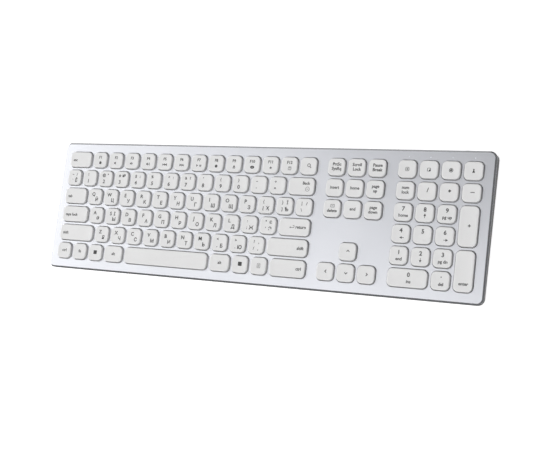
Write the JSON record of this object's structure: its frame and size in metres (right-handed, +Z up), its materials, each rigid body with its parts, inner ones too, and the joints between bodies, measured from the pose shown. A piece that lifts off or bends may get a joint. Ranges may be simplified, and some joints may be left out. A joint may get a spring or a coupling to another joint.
{
  "type": "computer keyboard with numeric keypad",
  "caption": "Slim full-size wireless keyboard with a numeric keypad: pale round-cornered keys that press down through a silver plate on a thin wedge-shaped tray.",
  "frame": {"origin": "middle of the keyboard's footprint, on the surface that its feet stand on", "axes": "+X to the right along the long side, +Y from the typist to the rear edge, +Z up"},
  "size_m": [0.4408, 0.1272, 0.0128],
  "materials": {
    "key_plastic": "fine matt texture with a smooth coat",
    "plate_aluminium": "bead-blasted and anodised, with a cut chamfer",
    "cover_plastic": "fine moulded grain",
    "silicone": "translucent matt",
    "membrane_film": "printed film",
    "plain_steel": "plain rolled",
    "lens_acrylic": "clear moulded",
    "circuit_board": "solder mask",
    "battery_foil": "foil pouch",
    "socket_steel": "drawn shell",
    "foot_rubber": "matt",
    "screw_steel": "plated",
    "knob_plastic": "moulded"
  },
  "bodies": {
    "case": {"top_plate": "plate_aluminium", "bottom_cover": "cover_plastic", "rubber_dome_sheet": "silicone", "membrane_sheet": "membrane_film", "support_plate": "plain_steel", "indicator_light_guide": "lens_acrylic", "controller_board": "circuit_board", "battery_pack": "battery_foil", "usb_c_socket": "socket_steel", "rear_left_foot": "foot_rubber", "rear_right_foot": "foot_rubber", "front_left_foot": "foot_rubber", "front_right_foot": "foot_rubber", "front_left_screw": "screw_steel", "front_right_screw": "screw_steel", "rear_left_screw": "screw_steel", "rear_right_screw": "screw_steel"},
    "function_row_keys": {"function_row_keys": "key_plastic"},
    "number_row_keys": {"number_row_keys": "key_plastic"},
    "upper_letter_row_keys": {"upper_letter_row_keys": "key_plastic"},
    "home_row_keys": {"home_row_keys": "key_plastic"},
    "lower_letter_row_keys": {"lower_letter_row_keys": "key_plastic"},
    "left_modifier_keys": {"left_modifier_keys": "key_plastic"},
    "space_bar": {"space_bar": "key_plastic"},
    "right_modifier_keys": {"right_modifier_keys": "key_plastic"},
    "print_screen_key": {"print_screen_key": "key_plastic"},
    "scroll_lock_key": {"scroll_lock_key": "key_plastic"},
    "pause_key": {"pause_key": "key_plastic"},
    "insert_key": {"insert_key": "key_plastic"},
    "home_key": {"home_key": "key_plastic"},
    "page_up_key": {"page_up_key": "key_plastic"},
    "delete_key": {"delete_key": "key_plastic"},
    "end_key": {"end_key": "key_plastic"},
    "page_down_key": {"page_down_key": "key_plastic"},
    "up_arrow_key": {"up_arrow_key": "key_plastic"},
    "left_arrow_key": {"left_arrow_key": "key_plastic"},
    "down_arrow_key": {"down_arrow_key": "key_plastic"},
    "right_arrow_key": {"right_arrow_key": "key_plastic"},
    "shortcut_1_key": {"shortcut_1_key": "key_plastic"},
    "shortcut_2_key": {"shortcut_2_key": "key_plastic"},
    "shortcut_3_key": {"shortcut_3_key": "key_plastic"},
    "shortcut_4_key": {"shortcut_4_key": "key_plastic"},
    "num_lock_key": {"num_lock_key": "key_plastic"},
    "keypad_divide_key": {"keypad_divide_key": "key_plastic"},
    "keypad_multiply_key": {"keypad_multiply_key": "key_plastic"},
    "keypad_minus_key": {"keypad_minus_key": "key_plastic"},
    "keypad_7_key": {"keypad_7_key": "key_plastic"},
    "keypad_8_key": {"keypad_8_key": "key_plastic"},
    "keypad_9_key": {"keypad_9_key": "key_plastic"},
    "keypad_plus_key": {"keypad_plus_key": "key_plastic"},
    "keypad_4_key": {"keypad_4_key": "key_plastic"},
    "keypad_5_key": {"keypad_5_key": "key_plastic"},
    "keypad_6_key": {"keypad_6_key": "key_plastic"},
    "keypad_1_key": {"keypad_1_key": "key_plastic"},
    "keypad_2_key": {"keypad_2_key": "key_plastic"},
    "keypad_3_key": {"keypad_3_key": "key_plastic"},
    "keypad_enter_key": {"keypad_enter_key": "key_plastic"},
    "keypad_0_key": {"keypad_0_key": "key_plastic"},
    "keypad_point_key": {"keypad_point_key": "key_plastic"},
    "power_switch_slider": {"power_switch_slider": "knob_plastic"}
  },
  "joints": [
    {"name": "press_function_row_keys", "type": "slide", "parent": "case", "child": "function_row_keys", "axis": [0, 0.0356, -0.9994], "range_m": [0, 0.0016], "stiffness_N_per_m": 2800, "springref_m": -0.001},
    {"name": "press_number_row_keys", "type": "slide", "parent": "case", "child": "number_row_keys", "axis": [0, 0.0356, -0.9994], "range_m": [0, 0.0016], "stiffness_N_per_m": 2800, "springref_m": -0.001},
    {"name": "press_upper_letter_row_keys", "type": "slide", "parent": "case", "child": "upper_letter_row_keys", "axis": [0, 0.0356, -0.9994], "range_m": [0, 0.0016], "stiffness_N_per_m": 2800, "springref_m": -0.001},
    {"name": "press_home_row_keys", "type": "slide", "parent": "case", "child": "home_row_keys", "axis": [0, 0.0356, -0.9994], "range_m": [0, 0.0016], "stiffness_N_per_m": 2600, "springref_m": -0.001},
    {"name": "press_lower_letter_row_keys", "type": "slide", "parent": "case", "child": "lower_letter_row_keys", "axis": [0, 0.0356, -0.9994], "range_m": [0, 0.0016], "stiffness_N_per_m": 2400, "springref_m": -0.001},
    {"name": "press_left_modifier_keys", "type": "slide", "parent": "case", "child": "left_modifier_keys", "axis": [0, 0.0356, -0.9994], "range_m": [0, 0.0016], "stiffness_N_per_m": 800, "springref_m": -0.001},
    {"name": "press_space_bar", "type": "slide", "parent": "case", "child": "space_bar", "axis": [0, 0.0356, -0.9994], "range_m": [0, 0.0016], "stiffness_N_per_m": 200, "springref_m": -0.001},
    {"name": "press_right_modifier_keys", "type": "slide", "parent": "case", "child": "right_modifier_keys", "axis": [0, 0.0356, -0.9994], "range_m": [0, 0.0016], "stiffness_N_per_m": 800, "springref_m": -0.001},
    {"name": "press_print_screen_key", "type": "slide", "parent": "case", "child": "print_screen_key", "axis": [0, 0.0356, -0.9994], "range_m": [0, 0.0016], "stiffness_N_per_m": 200, "springref_m": -0.001},
    {"name": "press_scroll_lock_key", "type": "slide", "parent": "case", "child": "scroll_lock_key", "axis": [0, 0.0356, -0.9994], "range_m": [0, 0.0016], "stiffness_N_per_m": 200, "springref_m": -0.001},
    {"name": "press_pause_key", "type": "slide", "parent": "case", "child": "pause_key", "axis": [0, 0.0356, -0.9994], "range_m": [0, 0.0016], "stiffness_N_per_m": 200, "springref_m": -0.001},
    {"name": "press_insert_key", "type": "slide", "parent": "case", "child": "insert_key", "axis": [0, 0.0356, -0.9994], "range_m": [0, 0.0016], "stiffness_N_per_m": 200, "springref_m": -0.001},
    {"name": "press_home_key", "type": "slide", "parent": "case", "child": "home_key", "axis": [0, 0.0356, -0.9994], "range_m": [0, 0.0016], "stiffness_N_per_m": 200, "springref_m": -0.001},
    {"name": "press_page_up_key", "type": "slide", "parent": "case", "child": "page_up_key", "axis": [0, 0.0356, -0.9994], "range_m": [0, 0.0016], "stiffness_N_per_m": 200, "springref_m": -0.001},
    {"name": "press_delete_key", "type": "slide", "parent": "case", "child": "delete_key", "axis": [0, 0.0356, -0.9994], "range_m": [0, 0.0016], "stiffness_N_per_m": 200, "springref_m": -0.001},
    {"name": "press_end_key", "type": "slide", "parent": "case", "child": "end_key", "axis": [0, 0.0356, -0.9994], "range_m": [0, 0.0016], "stiffness_N_per_m": 200, "springref_m": -0.001},
    {"name": "press_page_down_key", "type": "slide", "parent": "case", "child": "page_down_key", "axis": [0, 0.0356, -0.9994], "range_m": [0, 0.0016], "stiffness_N_per_m": 200, "springref_m": -0.001},
    {"name": "press_up_arrow_key", "type": "slide", "parent": "case", "child": "up_arrow_key", "axis": [0, 0.0356, -0.9994], "range_m": [0, 0.0016], "stiffness_N_per_m": 200, "springref_m": -0.001},
    {"name": "press_left_arrow_key", "type": "slide", "parent": "case", "child": "left_arrow_key", "axis": [0, 0.0356, -0.9994], "range_m": [0, 0.0016], "stiffness_N_per_m": 200, "springref_m": -0.001},
    {"name": "press_down_arrow_key", "type": "slide", "parent": "case", "child": "down_arrow_key", "axis": [0, 0.0356, -0.9994], "range_m": [0, 0.0016], "stiffness_N_per_m": 200, "springref_m": -0.001},
    {"name": "press_right_arrow_key", "type": "slide", "parent": "case", "child": "right_arrow_key", "axis": [0, 0.0356, -0.9994], "range_m": [0, 0.0016], "stiffness_N_per_m": 200, "springref_m": -0.001},
    {"name": "press_shortcut_1_key", "type": "slide", "parent": "case", "child": "shortcut_1_key", "axis": [0, 0.0356, -0.9994], "range_m": [0, 0.0016], "stiffness_N_per_m": 200, "springref_m": -0.001},
    {"name": "press_shortcut_2_key", "type": "slide", "parent": "case", "child": "shortcut_2_key", "axis": [0, 0.0356, -0.9994], "range_m": [0, 0.0016], "stiffness_N_per_m": 200, "springref_m": -0.001},
    {"name": "press_shortcut_3_key", "type": "slide", "parent": "case", "child": "shortcut_3_key", "axis": [0, 0.0356, -0.9994], "range_m": [0, 0.0016], "stiffness_N_per_m": 200, "springref_m": -0.001},
    {"name": "press_shortcut_4_key", "type": "slide", "parent": "case", "child": "shortcut_4_key", "axis": [0, 0.0356, -0.9994], "range_m": [0, 0.0016], "stiffness_N_per_m": 200, "springref_m": -0.001},
    {"name": "press_num_lock_key", "type": "slide", "parent": "case", "child": "num_lock_key", "axis": [0, 0.0356, -0.9994], "range_m": [0, 0.0016], "stiffness_N_per_m": 200, "springref_m": -0.001},
    {"name": "press_keypad_divide_key", "type": "slide", "parent": "case", "child": "keypad_divide_key", "axis": [0, 0.0356, -0.9994], "range_m": [0, 0.0016], "stiffness_N_per_m": 200, "springref_m": -0.001},
    {"name": "press_keypad_multiply_key", "type": "slide", "parent": "case", "child": "keypad_multiply_key", "axis": [0, 0.0356, -0.9994], "range_m": [0, 0.0016], "stiffness_N_per_m": 200, "springref_m": -0.001},
    {"name": "press_keypad_minus_key", "type": "slide", "parent": "case", "child": "keypad_minus_key", "axis": [0, 0.0356, -0.9994], "range_m": [0, 0.0016], "stiffness_N_per_m": 200, "springref_m": -0.001},
    {"name": "press_keypad_7_key", "type": "slide", "parent": "case", "child": "keypad_7_key", "axis": [0, 0.0356, -0.9994], "range_m": [0, 0.0016], "stiffness_N_per_m": 200, "springref_m": -0.001},
    {"name": "press_keypad_8_key", "type": "slide", "parent": "case", "child": "keypad_8_key", "axis": [0, 0.0356, -0.9994], "range_m": [0, 0.0016], "stiffness_N_per_m": 200, "springref_m": -0.001},
    {"name": "press_keypad_9_key", "type": "slide", "parent": "case", "child": "keypad_9_key", "axis": [0, 0.0356, -0.9994], "range_m": [0, 0.0016], "stiffness_N_per_m": 200, "springref_m": -0.001},
    {"name": "press_keypad_plus_key", "type": "slide", "parent": "case", "child": "keypad_plus_key", "axis": [0, 0.0356, -0.9994], "range_m": [0, 0.0016], "stiffness_N_per_m": 200, "springref_m": -0.001},
    {"name": "press_keypad_4_key", "type": "slide", "parent": "case", "child": "keypad_4_key", "axis": [0, 0.0356, -0.9994], "range_m": [0, 0.0016], "stiffness_N_per_m": 200, "springref_m": -0.001},
    {"name": "press_keypad_5_key", "type": "slide", "parent": "case", "child": "keypad_5_key", "axis": [0, 0.0356, -0.9994], "range_m": [0, 0.0016], "stiffness_N_per_m": 200, "springref_m": -0.001},
    {"name": "press_keypad_6_key", "type": "slide", "parent": "case", "child": "keypad_6_key", "axis": [0, 0.0356, -0.9994], "range_m": [0, 0.0016], "stiffness_N_per_m": 200, "springref_m": -0.001},
    {"name": "press_keypad_1_key", "type": "slide", "parent": "case", "child": "keypad_1_key", "axis": [0, 0.0356, -0.9994], "range_m": [0, 0.0016], "stiffness_N_per_m": 200, "springref_m": -0.001},
    {"name": "press_keypad_2_key", "type": "slide", "parent": "case", "child": "keypad_2_key", "axis": [0, 0.0356, -0.9994], "range_m": [0, 0.0016], "stiffness_N_per_m": 200, "springref_m": -0.001},
    {"name": "press_keypad_3_key", "type": "slide", "parent": "case", "child": "keypad_3_key", "axis": [0, 0.0356, -0.9994], "range_m": [0, 0.0016], "stiffness_N_per_m": 200, "springref_m": -0.001},
    {"name": "press_keypad_enter_key", "type": "slide", "parent": "case", "child": "keypad_enter_key", "axis": [0, 0.0356, -0.9994], "range_m": [0, 0.0016], "stiffness_N_per_m": 200, "springref_m": -0.001},
    {"name": "press_keypad_0_key", "type": "slide", "parent": "case", "child": "keypad_0_key", "axis": [0, 0.0356, -0.9994], "range_m": [0, 0.0016], "stiffness_N_per_m": 200, "springref_m": -0.001},
    {"name": "press_keypad_point_key", "type": "slide", "parent": "case", "child": "keypad_point_key", "axis": [0, 0.0356, -0.9994], "range_m": [0, 0.0016], "stiffness_N_per_m": 200, "springref_m": -0.001},
    {"name": "slide_power_switch", "type": "slide", "parent": "case", "child": "power_switch_slider", "axis": [1, 0, 0], "range_m": [0, 0.0025]}
  ]
}
